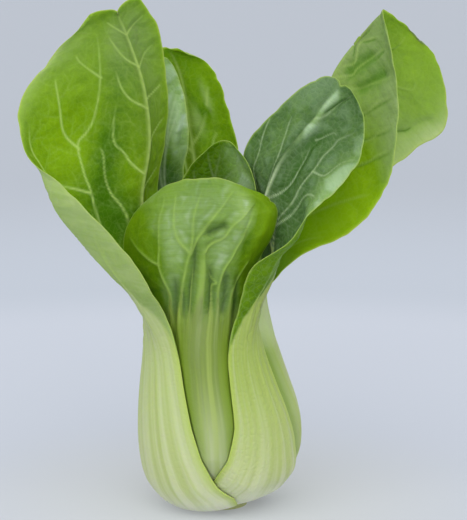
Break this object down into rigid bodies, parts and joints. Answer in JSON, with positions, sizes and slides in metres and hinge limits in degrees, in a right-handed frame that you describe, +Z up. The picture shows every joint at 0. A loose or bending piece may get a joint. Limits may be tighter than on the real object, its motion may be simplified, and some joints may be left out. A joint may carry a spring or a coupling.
{
  "type": "bok choy",
  "caption": "Young head of bok choy standing on its trimmed stem: broad pale stalks clasp one another in a bulb and open into upright, cupped green leaf blades.",
  "frame": {"origin": "centre of the cut face under the stem, on the surface that the head stands on", "axes": "+Z up along the head, -Y towards its front, +X to its right as seen from the front"},
  "size_m": [0.1721, 0.0796, 0.206],
  "materials": {
    "stem_flesh": "moist, matt, cut plant flesh",
    "bright_leaf": "satin, bright green leaf on a pale green stalk",
    "bloomed_leaf": "satin, grey-green leaf with a waxy bloom on a pale green stalk",
    "light_leaf": "satin, light green leaf on a pale green stalk",
    "heart_leaf": "satin, pale yellow-green young leaf"
  },
  "bodies": {
    "root": {"stem_base": "stem_flesh", "leaf_outer_left": "bright_leaf", "leaf_outer_back": "bright_leaf", "leaf_outer_right": "bloomed_leaf", "leaf_middle_left": "bloomed_leaf", "leaf_middle_right": "bright_leaf", "leaf_middle_front": "light_leaf", "leaf_inner_back": "bloomed_leaf", "leaf_heart_right": "heart_leaf", "leaf_heart_left": "heart_leaf", "leaf_heart_back": "heart_leaf"}
  },
  "joints": []
}
